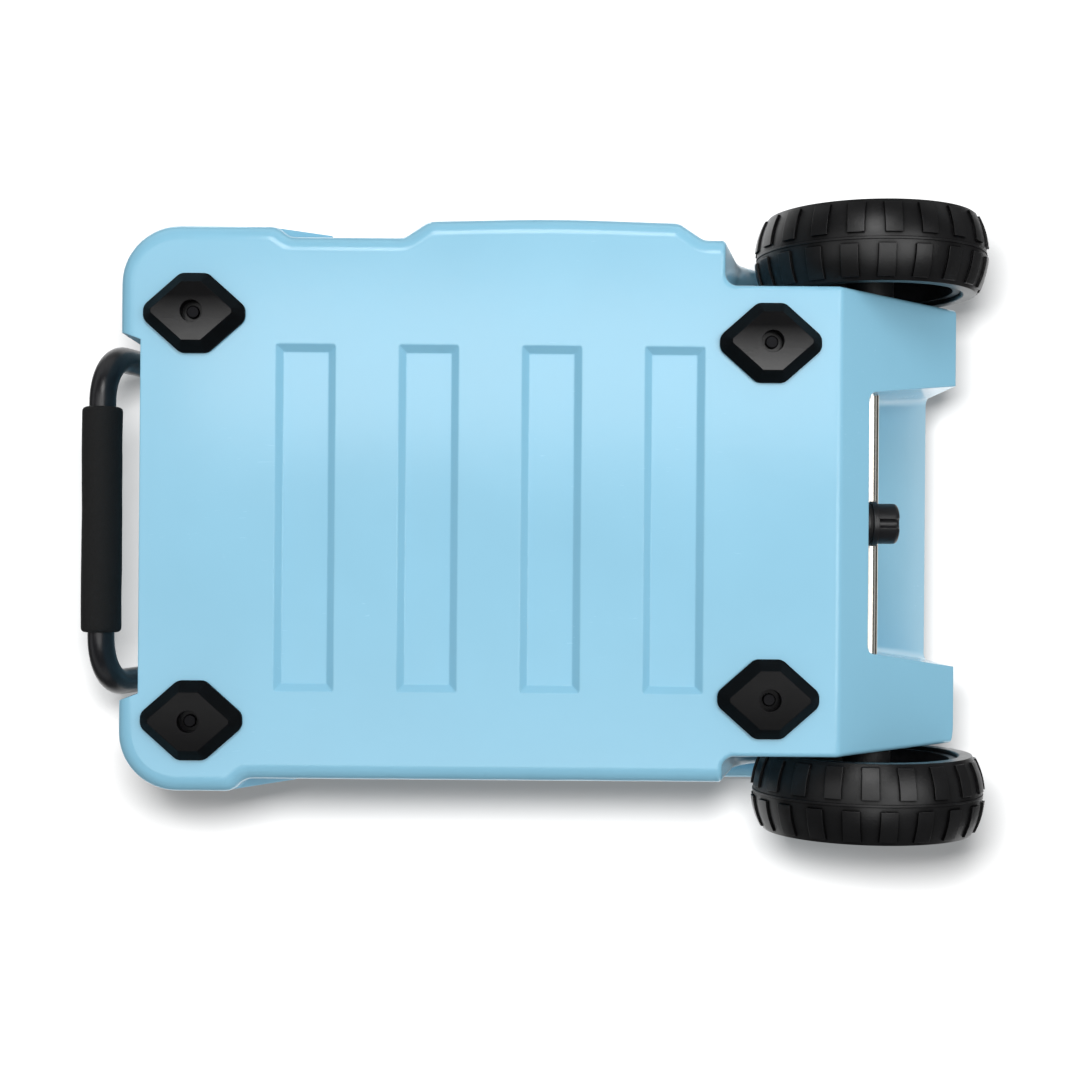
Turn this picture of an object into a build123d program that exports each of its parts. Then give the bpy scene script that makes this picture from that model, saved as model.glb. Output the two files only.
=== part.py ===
"""Insulated cooler on two wheels, with a hinged lid and a swinging tow handle.

X runs from the tow handle to the wheels, Y from the latches to the hinge and Z up from the floor.
The origin is on the floor, under the middle of the overall box.
"""
from build123d import *

from math import cos, radians, sin, sqrt, tan
import os

# Overall box
OVERALL_LENGTH = 706.0  # grip to tyre
OVERALL_WIDTH = 471.0  # over the two tyres
OVERALL_HEIGHT = 460.0  # floor to the top of the lid

# Fits
RUNNING_GAP = 0.05  # radial, for every pin that turns in a bore
FIXED_GAP = 0.1  # radial, for every screw or rod in its hole
NEAR = 0.5  # tolerance for finding an edge by its place

# Wheels and axle
WHEEL_RADIUS = 89.0
WHEEL_WIDTH = 59.5
WHEEL_LIFT = 3.0  # tyre above the floor while the cooler stands on its feet
WHEEL_SIDE_GAP = 4.2  # tyre to the wall of the wheel well
AXLE_RADIUS = 7.5
TYRE_DEPTH = 21.0  # from the lugs to the rim of the hub
TYRE_CROWN = 8.0  # fall of the tread from its middle to its sides
TYRE_SHOULDER = 9.0
TYRE_BEAD = 2.4  # rounding beside the hub
LUG_COUNT = 20
LUG_WIDTH = 12.6
LUG_HEIGHT = 1.8
LUG_ROW_GAP = 8.5  # bare band between the two rows of lugs
LUG_SIDE = 2.5  # lugs end this far from the sidewalls
RIDGE_WIDTH = 1.6
RIDGE_HEIGHT = 0.5
LUG_SHIFT = {"front": (0.0, -0.17), "back": (0.0, 0.5)}  # outer and inner row, in pitches
HUB_INSET = 3.0  # rim of the hub behind the tyre's sidewalls
HUB_RIM = 6.0
HUB_WEB = 9.0
HUB_WEB_SHIFT = 8.0  # web outside the middle of the wheel
HUB_BOSS_RADIUS = 18.0
HUB_BOSS_PROUD = 2.0  # boss past the tyre on the inner side
HUB_WINDOWS = 6
HUB_WINDOW_RADIUS = 11.0
WASHER_RADIUS = 15.0
WASHER_GAP = 0.4
CAP_RADIUS = 13.0
CAP_LENGTH = 7.0
CAP_ROUND = 3.0
CAP_INSET = 1.5  # end of the cap behind the tyre's outer face
CAP_FLOOR = 2.0

# Tow handle
GRIP_RADIUS = 16.0
GRIP_LENGTH = 178.0
GRIP_HEIGHT = 120.0  # grip's middle above the floor at rest
GRIP_END_ROUND = 4.0
TUBE_RADIUS = 10.4
TUBE_WALL = 2.0
TUBE_BEND = 38.0
LEG_SPACING = 261.0
LEG_LENGTH = 152.0  # pivot to grip
LEG_TILT = 12.5  # degrees from the vertical at rest
LEG_STUB = 8.0  # tube past the pivot
HANDLE_STANDOFF = 22.0  # pivot to the end wall at its foot
BRACKET_SEAT = 3.6  # seat of the bracket outside the end wall's foot
BRACKET_PLATE = 4.0
BRACKET_CHEEK = 5.0
BRACKET_GAP = 0.8  # cheek to tube
BRACKET_FLANGE = 15.0  # plate past each cheek
BRACKET_RISE = 30.0  # plate above and below the pivot
BRACKET_ROOT = 24.0  # cheek above and below the pivot, at the plate
BRACKET_NOSE = 13.0
BRACKET_ROUND = 6.0
BRACKET_POCKET = 3.0  # pocket in the end wall, to the sides of the plate
BRACKET_RELIEF = 14.0  # the same pocket above and below the plate, clear of the tube
STOP_DROP = 21.0  # stop block below the pivot
STOP_LENGTH = 7.0
STOP_GAP = 0.3
BOLT_RADIUS = 4.0
BOLT_HEAD_RADIUS = 7.0
BOLT_HEAD = 4.5
BOLT_HEAD_ROUND = 1.5

# Body shell
FOOT_HEIGHT = 14.0
RIM_HEIGHT = 395.0
FLANGE_DEPTH = 45.0
FLANGE_ROUND = 6.0
RIM_OVERHANG = 15.0
RIM_CORNER = 40.0
DRAFT_ANGLE = 1.0
TYRE_PROUD = 16.0  # tyre past the body's tail
FRONT_INSET = 22.0  # front posts behind the tyres' outer faces
BACK_INSET = 34.8
CORNER_ROUND = 43.0
BLEND_ROUND = 12.0
RAMP_ROUND = 13.5
BASE_ROUND = 12.0
EDGE_ROUND = 3.5
END_RECESS_DEPTH = 16.0
END_RECESS_HALF = 135.0
END_RECESS_RAMP = 6.0
FRONT_POST = 114.0
TAIL_POST = 111.5
POST_RAMP = 8.5
POST_LEAN = {"front": 50.0, "back": 28.0}  # degrees from the vertical, on the left posts
POST_SPREAD = 42.0  # how far the left posts widen above their feet
FRONT_RECESS_DEPTH = 7.6
BULGE_INSET = 225.0  # from the left posts' outer face
BULGE_TAIL_INSET = 227.0
BULGE_RAMP = 18.5
BULGE_PROUD = 4.7
BULGE_BOW = 2.5
BULGE_BOW_RADIUS = 1200.0
BULGE_BOW_SHARE = 0.6  # most of the bowed panel's half length that its rounding takes up
BACK_POST = 83.5
BACK_RAMP = 9.5
BACK_RECESS_DEPTH = 9.4
TAIL_SLOPE_RUN = 108.8
TAIL_SLOPE_ANGLE = 45.0
TAIL_ROUND = 7.0
WELL_RUN = 196.8  # tail to the foot of a wheel well's front wall
WELL_LEAN = 39.5
WELL_CLEARANCE = 15.0  # arch to tyre
WELL_INNER_ROUND = 9.0
BAR_COUNT = 4
BAR_PITCH = 89.7
BAR_WIDTH = 44.0
BAR_LENGTH = 253.3
BAR_DEPTH = 5.0
BAR_TAPER = 48.0
BAR_ROUND = 2.0
BAR_ROW_RUN = 364.3  # tail to the middle of the row
POCKET_RUN = 83.0  # tail to the pocket's upright wall
POCKET_WALL_TOP = 105.0
POCKET_TOP = 230.0
POCKET_HALF = 97.0
POCKET_FLARE = 14.0
POCKET_ROUND = 7.0

# Food compartment and foam
END_WALL = 42.0
SIDE_WALL_FRONT = 20.0  # compartment to the wheel well
SIDE_WALL_BACK = 24.0
FLOOR_THICKNESS = 40.0
TAIL_WALL = 40.0  # compartment to the pocket
STEP_WALL = 48.0  # upper compartment to the tail
STEP_HEIGHT = 245.0
CAVITY_CORNER = 30.0
CAVITY_ROUND = 15.0
CAVITY_DRAFT = 1.5
SKIN = 5.0  # wall of the liner
LINER_LIP = 4.0  # lip past the liner's wall, let into the rim
LINER_LIP_DEPTH = 4.0
FOAM_MARGIN = 9.0  # plastic between foam and the outside
FOAM_FLOOR = 12.0
FOAM_ROOF = 10.0

# Feet
FOOT_LENGTH = 74.0
FOOT_WIDTH = 58.0
FOOT_TIP = 20.0  # flat at each tip across the body
FOOT_SIDE_TIP = 10.0  # flat at each tip along the body
FOOT_RIM = 3.0
FOOT_TAPER = 36.0
FOOT_TIP_ROUND = 8.5
FOOT_BORE = 8.0
FOOT_SEAT = 9.5
LEFT_FEET_INSET = 55.4  # from the posts' outer face
LEFT_FEET_SIDE = 87.5  # from the tyres' outer faces
RIGHT_FEET_INSET = 160.4  # from the tail
RIGHT_FEET_SIDE = 106.0

# Screws
SCREW_RADIUS = 2.4
SCREW_HEAD_RADIUS = 4.8
SCREW_HEAD = 3.0
SCREW_HEAD_ROUND = 1.2
FOOT_SCREW_BITE = 8.0
WALL_SCREW_BITE = 7.0
SCREW_TIP_GAP = 1.0

# Lid and hinge
LID_GAP = 3.0
LID_DRAFT = 2.0
LID_TOP_ROUND = 16.0
LID_PANEL_MARGIN = 62.0
LID_PANEL_DEPTH = 4.0
LID_PANEL_TAPER = 35.0
LID_PANEL_CORNER = 30.0
LID_PLUG_DEPTH = 10.0
LID_PLUG_GAP = 6.0
LID_SKIN = 7.0
LID_FOAM_MARGIN = 22.0
GASKET_WIDTH = 10.0
GASKET_SEAT = 3.0
GASKET_MARGIN = 8.0  # gasket outside the compartment's mouth
HINGE_RADIUS = 9.0
HINGE_PIN_RADIUS = 4.0
HINGE_GAP = 1.0
HINGE_LID_WIDTH = 60.0
HINGE_BODY_WIDTH = 30.0
HINGE_SPREAD = 178.0
HINGE_WEB = 30.0
HINGE_BITE = 3.0

# Latches
LATCH_INSET = 174.5  # from the left posts' outer face
LATCH_TAIL_INSET = 176.5
LATCH_PIVOT_HEIGHT = 300.0
LATCH_SEAT = 3.5  # seat of the mount outside the recess' foot
LATCH_PLATE = 3.0
LATCH_PLATE_WIDTH = 60.0
LATCH_MOUNT_RISE = 16.0  # plate above and below the pin
LATCH_EYE_RADIUS = 7.0
LATCH_EYE_GAP = 0.6
LATCH_EYE_WIDTH = 30.0
LATCH_PIN_RADIUS = 3.0
LATCH_CHEEK = 4.0
LATCH_SIDE_GAP = 0.5
LATCH_STRAP = 9.0
LATCH_STRAP_WIDTH = 24.0
LATCH_STRAP_ROUND = 2.0
LATCH_BAR_RADIUS = 5.5
LATCH_BAR_LENGTH = 52.0
LATCH_BAR_ROUND = 3.0
LATCH_SHELF = 27.0  # shelf above the lid's lower face
LATCH_SHELF_DEPTH = 14.0
LATCH_REST_GAP = 1.4
LATCH_TAB = 16.0
LATCH_TAB_WIDTH = 36.0
LATCH_TAB_THICKNESS = 5.0
LATCH_SWAY = 8.5  # room that the strap needs behind its parked place
LATCH_SLOT = 30.0
LATCH_NOTCH = 62.0

# Drain
DRAIN_HEIGHT = 62.0
DRAIN_BORE = 9.2
DRAIN_SLEEVE_RADIUS = 12.0
DRAIN_FLANGE_RADIUS = 17.0
DRAIN_FLANGE = 3.0
DRAIN_SEAL = 2.5
DRAIN_SEAL_RADIUS = 15.0
DRAIN_SHANK_RADIUS = 8.9
DRAIN_SHANK = 22.0
DRAIN_COLLAR_RADIUS = 17.0
DRAIN_COLLAR = 4.0
DRAIN_KNOB_RADIUS = 15.5
DRAIN_KNOB = 16.0
DRAIN_FLUTES = 4
DRAIN_FLUTE_RADIUS = 3.6
DRAIN_FLUTE_DEPTH = 3.0
DRAIN_ROUND = 3.5

# Places that follow from the sizes
wheel_x = OVERALL_LENGTH / 2 - WHEEL_RADIUS
axle_z = WHEEL_RADIUS + WHEEL_LIFT
wheel_outer = OVERALL_WIDTH / 2
wheel_inner = wheel_outer - WHEEL_WIDTH
wheel_middle = wheel_outer - WHEEL_WIDTH / 2
rim_radius = WHEEL_RADIUS - TYRE_DEPTH
tread_arc = ((WHEEL_WIDTH / 2) ** 2 + TYRE_CROWN**2) / (2 * TYRE_CROWN)
well_wall = wheel_inner - WHEEL_SIDE_GAP
boss_inner = wheel_inner - HUB_BOSS_PROUD
cap_end = wheel_outer - CAP_INSET
boss_outer = cap_end - CAP_LENGTH - WASHER_GAP
axle_end = cap_end - CAP_FLOOR
grip_x = GRIP_RADIUS - OVERALL_LENGTH / 2
leg_down = (-sin(radians(LEG_TILT)), -cos(radians(LEG_TILT)))  # along the leg, in X and Z
pivot_x = grip_x - LEG_LENGTH * leg_down[0]
pivot_z = GRIP_HEIGHT - LEG_LENGTH * leg_down[1]
end_recess_x = pivot_x + HANDLE_STANDOFF
post_x = end_recess_x - END_RECESS_DEPTH
bracket_seat_x = end_recess_x - BRACKET_SEAT
bracket_face_x = bracket_seat_x - BRACKET_PLATE
cheek_inner = TUBE_RADIUS + BRACKET_GAP
cheek_outer = cheek_inner + BRACKET_CHEEK
bracket_half = cheek_outer + BRACKET_FLANGE
tail_x = OVERALL_LENGTH / 2 - TYRE_PROUD
front_y = FRONT_INSET - OVERALL_WIDTH / 2
back_y = OVERALL_WIDTH / 2 - BACK_INSET
front_recess_y = front_y + FRONT_RECESS_DEPTH
back_recess_y = back_y - BACK_RECESS_DEPTH
bulge_y = front_y - BULGE_PROUD
flange_z = RIM_HEIGHT - FLANGE_DEPTH
rim_front = front_y - RIM_OVERHANG
rim_back = back_y + RIM_OVERHANG
rim_left = post_x - RIM_OVERHANG
rim_right = tail_x + RIM_OVERHANG
rim_length = rim_right - rim_left
rim_width = rim_back - rim_front
rim_centre = ((rim_left + rim_right) / 2, (rim_front + rim_back) / 2)
slope_x = tail_x - TAIL_SLOPE_RUN
well_x = tail_x - WELL_RUN
arch_radius = WHEEL_RADIUS + WELL_CLEARANCE
well_top = axle_z + arch_radius
pocket_x = tail_x - POCKET_RUN
cavity_left = end_recess_x + END_WALL
cavity_right = pocket_x - TAIL_WALL
cavity_step = tail_x - STEP_WALL
cavity_front = SIDE_WALL_FRONT - well_wall
cavity_back = well_wall - SIDE_WALL_BACK
cavity_floor = FOOT_HEIGHT + FLOOR_THICKNESS
spread_to_rim = (RIM_HEIGHT - cavity_floor) * tan(radians(CAVITY_DRAFT))
spread_to_step = (STEP_HEIGHT - cavity_floor) * tan(radians(CAVITY_DRAFT))
mouth_left = cavity_left - spread_to_rim
mouth_right = cavity_step + spread_to_rim - spread_to_step
mouth_front = cavity_front - spread_to_rim
mouth_back = cavity_back + spread_to_rim
lid_bottom = RIM_HEIGHT + LID_GAP
hinge_y = rim_back + HINGE_RADIUS + HINGE_GAP
hinge_z = RIM_HEIGHT + LID_GAP / 2
hinge_half = HINGE_LID_WIDTH / 2
hinge_stations = (rim_centre[0] - HINGE_SPREAD, rim_centre[0] + HINGE_SPREAD)
latch_seat_y = front_recess_y - LATCH_SEAT
latch_plate_y = latch_seat_y - LATCH_PLATE
latch_y = latch_plate_y - LATCH_EYE_RADIUS - LATCH_EYE_GAP
latch_cheek = LATCH_EYE_WIDTH / 2 + LATCH_SIDE_GAP
latches = {"left": post_x + LATCH_INSET, "right": tail_x - LATCH_TAIL_INSET}
shelf_z = lid_bottom + LATCH_SHELF
latch_bar_z = shelf_z + LATCH_REST_GAP + LATCH_BAR_RADIUS
lid_shelf_y = latch_y + LATCH_BAR_RADIUS + LATCH_SIDE_GAP
strap_back_y = latch_y + LATCH_STRAP / 2 + LATCH_SWAY
legs = {"front": -LEG_SPACING / 2, "back": LEG_SPACING / 2}
left_spread = wheel_outer - LEFT_FEET_SIDE
right_spread = wheel_outer - RIGHT_FEET_SIDE
feet = {
    "front_left": (post_x + LEFT_FEET_INSET, -left_spread),
    "back_left": (post_x + LEFT_FEET_INSET, left_spread),
    "front_right": (tail_x - RIGHT_FEET_INSET, -right_spread),
    "back_right": (tail_x - RIGHT_FEET_INSET, right_spread),
}
seal_x = pocket_x + DRAIN_FLANGE
collar_x = seal_x + DRAIN_SEAL
knob_x = collar_x + DRAIN_COLLAR
reach = OVERALL_LENGTH + OVERALL_WIDTH  # longer than anything, for cutting tools

os.makedirs("parts", exist_ok=True)


def save(part, name):
    part.label = name
    export_step(part, f"parts/{name}.step")


def between(x_low, x_high, y_low, y_high, z_low, z_high):
    """Box from one corner to the other."""
    with BuildPart() as block:
        with Locations(((x_low + x_high) / 2, (y_low + y_high) / 2, (z_low + z_high) / 2)):
            Box(x_high - x_low, y_high - y_low, z_high - z_low)
    return block.part


def rod(start, direction, length, radius):
    """Round bar from a point."""
    with BuildPart() as bar:
        with BuildSketch(Plane(origin=start, z_dir=direction)):
            Circle(radius)
        extrude(amount=length)
    return bar.part


def screw(seat, direction, grip):
    """Pan-head screw with the underside of its head at the seat."""
    top = Vector(seat) - Vector(direction) * SCREW_HEAD
    with BuildPart() as piece:
        with BuildSketch(Plane(origin=top, z_dir=direction)):
            Circle(SCREW_HEAD_RADIUS)
        extrude(amount=SCREW_HEAD)
        crown = piece.faces().sort_by(Axis(seat, direction))[0]
        fillet(crown.edges(), SCREW_HEAD_ROUND)
        with BuildSketch(Plane(origin=seat, z_dir=direction)):
            Circle(SCREW_RADIUS)
        extrude(amount=grip)
    return piece.part


def body_outline():
    """Points around the body's foot, each with its rounding."""
    left_ramp = post_x + FRONT_POST
    right_ramp = tail_x - TAIL_POST
    bulge_left = post_x + BULGE_INSET
    bulge_right = tail_x - BULGE_TAIL_INSET
    bow_half = (bulge_right - bulge_left) / 2
    bow_radius = min(BULGE_BOW_RADIUS, BULGE_BOW_SHARE * bow_half**2 / BULGE_BOW)
    return [
        ((post_x, front_y), CORNER_ROUND),
        ((left_ramp, front_y), RAMP_ROUND),
        ((left_ramp + POST_RAMP, front_recess_y), RAMP_ROUND),
        ((bulge_left - BULGE_RAMP, front_recess_y), BLEND_ROUND),
        ((bulge_left, bulge_y), BLEND_ROUND),
        ((bulge_left + bow_half, bulge_y - BULGE_BOW), bow_radius),
        ((bulge_right, bulge_y), BLEND_ROUND),
        ((bulge_right + BULGE_RAMP, front_recess_y), BLEND_ROUND),
        ((right_ramp - POST_RAMP, front_recess_y), RAMP_ROUND),
        ((right_ramp, front_y), RAMP_ROUND),
        ((tail_x, front_y), CORNER_ROUND),
        ((tail_x, back_y), CORNER_ROUND),
        ((tail_x - BACK_POST, back_y), RAMP_ROUND),
        ((tail_x - BACK_POST - BACK_RAMP, back_recess_y), RAMP_ROUND),
        ((post_x + BACK_POST + BACK_RAMP, back_recess_y), RAMP_ROUND),
        ((post_x + BACK_POST, back_y), RAMP_ROUND),
        ((post_x, back_y), CORNER_ROUND),
    ]


def post_shoulder(post, wall_y, depth, lean):
    """Side of a left post that leans over the recess beside it, on the front side."""
    tilt = radians(DRAFT_ANGLE)
    foot = (post_x + post - RAMP_ROUND / 2, wall_y, FOOT_HEIGHT)
    wall = Plane(origin=foot, x_dir=(1, 0, 0), z_dir=(0, -cos(tilt), -sin(tilt)))
    top = flange_z + FLANGE_ROUND - FOOT_HEIGHT
    with BuildPart() as shoulder:
        with BuildSketch(wall.offset(-EDGE_ROUND)):
            with BuildLine():
                Polyline(
                    (0, BASE_ROUND),
                    (POST_SPREAD, BASE_ROUND + POST_SPREAD / tan(radians(lean))),
                    (POST_SPREAD, top),
                    (0, top),
                    close=True,
                )
            make_face()
        extrude(amount=EDGE_ROUND + depth * cos(tilt))
    return shoulder.part


def well_edges(part):
    """Edges where the underside, the slope and the tail meet the wheel wells."""
    picked = []
    for edge in part.edges():
        middle = edge.center()
        depth = abs(middle.Y) - well_wall
        low = middle.Z < FOOT_HEIGHT + NEAR
        on_wall = abs(depth) < NEAR and middle.Z < well_top - 2 * WELL_INNER_ROUND
        along_wall = on_wall and (low or middle.X > slope_x - TAIL_ROUND)
        front_wall = low and depth > NEAR and well_x < middle.X < well_x + WELL_LEAN
        if along_wall or front_wall:
            picked.append(edge)
    return picked


def cavity(grow):
    """Food compartment with its step over the wheels, or the same made larger all round."""
    with BuildPart() as space:
        for right, floor, spread in (
            (cavity_right, cavity_floor, 0),
            (cavity_step, STEP_HEIGHT, spread_to_step),
        ):
            left = cavity_left - spread
            with BuildSketch(Plane.XY.offset(floor - grow)):
                with Locations(((left + right) / 2, (cavity_front + cavity_back) / 2)):
                    RectangleRounded(
                        right - left + 2 * grow,
                        cavity_back - cavity_front + 2 * (spread + grow),
                        CAVITY_CORNER + grow,
                    )
            extrude(amount=RIM_HEIGHT - floor + grow, taper=-CAVITY_DRAFT)
        fillet(space.faces().sort_by(Axis.Z)[0].edges(), CAVITY_ROUND + grow)
    return space.part


def knuckle(x_low, x_high, foot_z, top_z):
    """Hinge knuckle with a web that enters the back of the rim between two heights."""
    with BuildPart() as piece:
        with BuildSketch(Plane.YZ.offset(x_low)):
            with BuildLine():
                Polyline(
                    (rim_back - HINGE_BITE, foot_z),
                    (hinge_y + HINGE_RADIUS, hinge_z),
                    (hinge_y - HINGE_RADIUS, hinge_z),
                    (rim_back - HINGE_BITE, top_z),
                    close=True,
                )
            make_face()
            with Locations((hinge_y, hinge_z)):
                Circle(HINGE_RADIUS)
        extrude(amount=x_high - x_low)
    return piece.part


def mouth_block(margin, z_low, z_high):
    """Rounded block over the compartment's mouth, larger by a margin."""
    with BuildPart() as block:
        with BuildSketch(Plane.XY.offset(z_low)):
            with Locations(((mouth_left + mouth_right) / 2, (mouth_front + mouth_back) / 2)):
                RectangleRounded(
                    mouth_right - mouth_left + 2 * margin,
                    mouth_back - mouth_front + 2 * margin,
                    CAVITY_CORNER + margin,
                )
        extrude(amount=z_high - z_low)
    return block.part


# Wheel well, on the front side
with BuildPart() as well:
    with BuildSketch(Plane.XZ.offset(well_wall)):
        with BuildLine():
            FilletPolyline(
                (well_x, 0),
                (well_x + WELL_LEAN, well_top),
                (reach, well_top),
                (reach, 0),
                radius=(0, arch_radius, 0, 0),
                close=True,
            )
        make_face()
    extrude(amount=reach)
    inner_edges = well.faces().sort_by(Axis.Y)[-1].edges()
    raised_edges = [e for e in inner_edges if e.center().Z > NEAR]
    fillet([e for e in raised_edges if e.center().X < reach - NEAR], WELL_INNER_ROUND)
back_well = mirror(well.part, about=Plane.XZ)

# Pocket behind the axle
with BuildPart() as pocket:
    with BuildSketch(Plane.XY):
        with BuildLine():
            FilletPolyline(
                (pocket_x, -POCKET_HALF),
                (tail_x + POCKET_RUN, -POCKET_HALF - 2 * POCKET_FLARE),
                (tail_x + POCKET_RUN, POCKET_HALF + 2 * POCKET_FLARE),
                (pocket_x, POCKET_HALF),
                radius=(POCKET_ROUND, 0, 0, POCKET_ROUND),
                close=True,
            )
        make_face()
    extrude(amount=2 * POCKET_TOP)
    ceiling_rise = (POCKET_TOP - POCKET_WALL_TOP) / POCKET_RUN
    with BuildSketch(Plane.XZ):
        with BuildLine():
            Polyline(
                (pocket_x - POCKET_RUN, POCKET_WALL_TOP - ceiling_rise * POCKET_RUN),
                (pocket_x + reach, POCKET_WALL_TOP + ceiling_rise * reach),
                (pocket_x - POCKET_RUN, POCKET_WALL_TOP + ceiling_rise * reach),
                close=True,
            )
        make_face()
    extrude(amount=reach, both=True, mode=Mode.SUBTRACT)
    folds = [e for e in pocket.edges() if abs(e.center().Z - POCKET_WALL_TOP) < NEAR]
    fillet([e for e in folds if e.length > POCKET_HALF], POCKET_ROUND)

# Recess in the end, behind the tow handle
with BuildPart() as end_recess:
    ramp_slope = END_RECESS_RAMP / END_RECESS_DEPTH
    recess_floor = END_RECESS_HALF - END_RECESS_RAMP
    recess_mouth = recess_floor + ramp_slope * reach
    with BuildSketch(Plane.XY.offset(FOOT_HEIGHT)):
        with BuildLine():
            Polyline(
                (end_recess_x, -recess_floor),
                (end_recess_x, recess_floor),
                (end_recess_x - reach, recess_mouth),
                (end_recess_x - reach, -recess_mouth),
                close=True,
            )
        make_face()
    extrude(amount=flange_z + FLANGE_ROUND - FOOT_HEIGHT, taper=DRAFT_ANGLE)

# Leaning sides of the left posts
front_shoulder = post_shoulder(FRONT_POST, front_recess_y, FRONT_RECESS_DEPTH, POST_LEAN["front"])
mirrored_shoulder = post_shoulder(BACK_POST, -back_recess_y, BACK_RECESS_DEPTH, POST_LEAN["back"])
back_shoulder = mirror(mirrored_shoulder, about=Plane.XZ)

# Foam in the body's walls
with BuildPart() as body_foam:
    foam_front = front_recess_y + FOAM_MARGIN
    foam_back = back_recess_y - FOAM_MARGIN
    foam_low = FOOT_HEIGHT + FOAM_FLOOR
    foam_high = RIM_HEIGHT - FOAM_ROOF
    foam_ledge = POCKET_TOP
    foam_well = well_x - FOAM_MARGIN
    foam_side = well_wall - FOAM_MARGIN
    add(between(end_recess_x + FOAM_MARGIN, foam_well, foam_front, foam_back, foam_low, foam_high))
    add(between(foam_well, tail_x - FOAM_MARGIN, foam_front, foam_back, foam_ledge, foam_high))
    add(between(foam_well, cavity_right, -foam_side, foam_side, foam_low, foam_ledge))
    lower_tail = DRAIN_HEIGHT + DRAIN_FLANGE_RADIUS + SKIN
    add(between(foam_well, pocket_x - FOAM_MARGIN, -foam_side, foam_side, lower_tail, foam_ledge))
    add(cavity(SKIN), mode=Mode.SUBTRACT)
save(body_foam.part, "body_foam")

# Screws, and the holes that take them
foot_screws = []
foot_pilots = []
pilot_radius = SCREW_RADIUS + FIXED_GAP
for x, y in feet.values():
    seat = (x, y, FOOT_SEAT)
    grip = FOOT_HEIGHT - FOOT_SEAT + FOOT_SCREW_BITE
    foot_screws.append(screw(seat, (0, 0, 1), grip))
    foot_pilots.append(rod(seat, (0, 0, 1), grip + SCREW_TIP_GAP, pilot_radius))

latch_screws = []
latch_pilots = []
latch_screw_offset = (LATCH_PLATE_WIDTH / 2 + latch_cheek + LATCH_CHEEK) / 2
for x in latches.values():
    for shift in (-latch_screw_offset, latch_screw_offset):
        seat = (x + shift, latch_plate_y, LATCH_PIVOT_HEIGHT)
        grip = LATCH_PLATE + WALL_SCREW_BITE
        latch_screws.append(screw(seat, (0, 1, 0), grip))
        latch_pilots.append(rod(seat, (0, 1, 0), grip + SCREW_TIP_GAP, pilot_radius))

bracket_screws = []
bracket_pilots = []
bracket_screw_offset = (cheek_outer + bracket_half) / 2
bracket_screw_rise = BRACKET_RISE - BRACKET_FLANGE / 2
for leg_y in legs.values():
    for shift in (-bracket_screw_offset, bracket_screw_offset):
        for rise in (-bracket_screw_rise, bracket_screw_rise):
            seat = (bracket_face_x, leg_y + shift, pivot_z + rise)
            grip = BRACKET_PLATE + WALL_SCREW_BITE
            bracket_screws.append(screw(seat, (1, 0, 0), grip))
            bracket_pilots.append(rod(seat, (1, 0, 0), grip + SCREW_TIP_GAP, pilot_radius))

save(Compound(children=foot_screws), "foot_screws")
save(Compound(children=latch_screws), "latch_screws")
save(Compound(children=bracket_screws), "bracket_screws")

# Liner of the food compartment
drain_start = (cavity_right - CAVITY_ROUND, 0, DRAIN_HEIGHT)
drain_length = TAIL_WALL + CAVITY_ROUND + DRAIN_FLANGE
drain_hole = rod(drain_start, (1, 0, 0), drain_length, DRAIN_SLEEVE_RADIUS + FIXED_GAP)
liner_lip = mouth_block(SKIN + LINER_LIP, RIM_HEIGHT - LINER_LIP_DEPTH, RIM_HEIGHT)
with BuildPart() as body_liner:
    add(cavity(SKIN))
    add(liner_lip)
    add([cavity(0), drain_hole], mode=Mode.SUBTRACT)
save(body_liner.part, "body_liner")

# Seats that are cut into the body
body_cuts = [cavity(SKIN), liner_lip, body_foam.part, pocket.part, drain_hole]
for leg_y in legs.values():
    half = bracket_half + BRACKET_POCKET
    rise = BRACKET_RISE + BRACKET_RELIEF
    body_cuts.append(
        between(-reach, bracket_seat_x, leg_y - half, leg_y + half, pivot_z - rise, pivot_z + rise)
    )
for x in latches.values():
    half = LATCH_NOTCH / 2
    rise = LATCH_MOUNT_RISE + LATCH_EYE_GAP
    low, high = LATCH_PIVOT_HEIGHT - rise, LATCH_PIVOT_HEIGHT + rise
    body_cuts.append(between(x - half, x + half, -reach, latch_seat_y, low, high))
    body_cuts.append(between(x - half, x + half, -reach, strap_back_y, flange_z, 2 * RIM_HEIGHT))
axle_bore = rod((wheel_x, -reach, axle_z), (0, 1, 0), 2 * reach, AXLE_RADIUS + FIXED_GAP)
body_cuts.append(axle_bore)
body_cuts += foot_pilots + latch_pilots + bracket_pilots

body_knuckles = []
hinge_pins = []
hinge_bores = []
for station in hinge_stations:
    low = station - hinge_half - HINGE_GAP - HINGE_BODY_WIDTH
    high = station + hinge_half + HINGE_GAP
    foot_z = RIM_HEIGHT - HINGE_WEB
    for start in (low, high):
        body_knuckles.append(knuckle(start, start + HINGE_BODY_WIDTH, foot_z, RIM_HEIGHT - FLANGE_ROUND))
    length = high + HINGE_BODY_WIDTH - low
    hinge_pins.append(rod((low, hinge_y, hinge_z), (1, 0, 0), length, HINGE_PIN_RADIUS))
    hinge_bores.append(rod((low, hinge_y, hinge_z), (1, 0, 0), length, HINGE_PIN_RADIUS + RUNNING_GAP))
save(Compound(children=hinge_pins), "hinge_pins")

# Rim around the mouth
with BuildPart() as rim:
    with BuildSketch(Plane.XY.offset(flange_z)):
        with Locations(rim_centre):
            RectangleRounded(rim_length, rim_width, RIM_CORNER)
    extrude(amount=FLANGE_DEPTH)
    fillet(rim.edges().filter_by(Plane.XY), FLANGE_ROUND)

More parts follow.
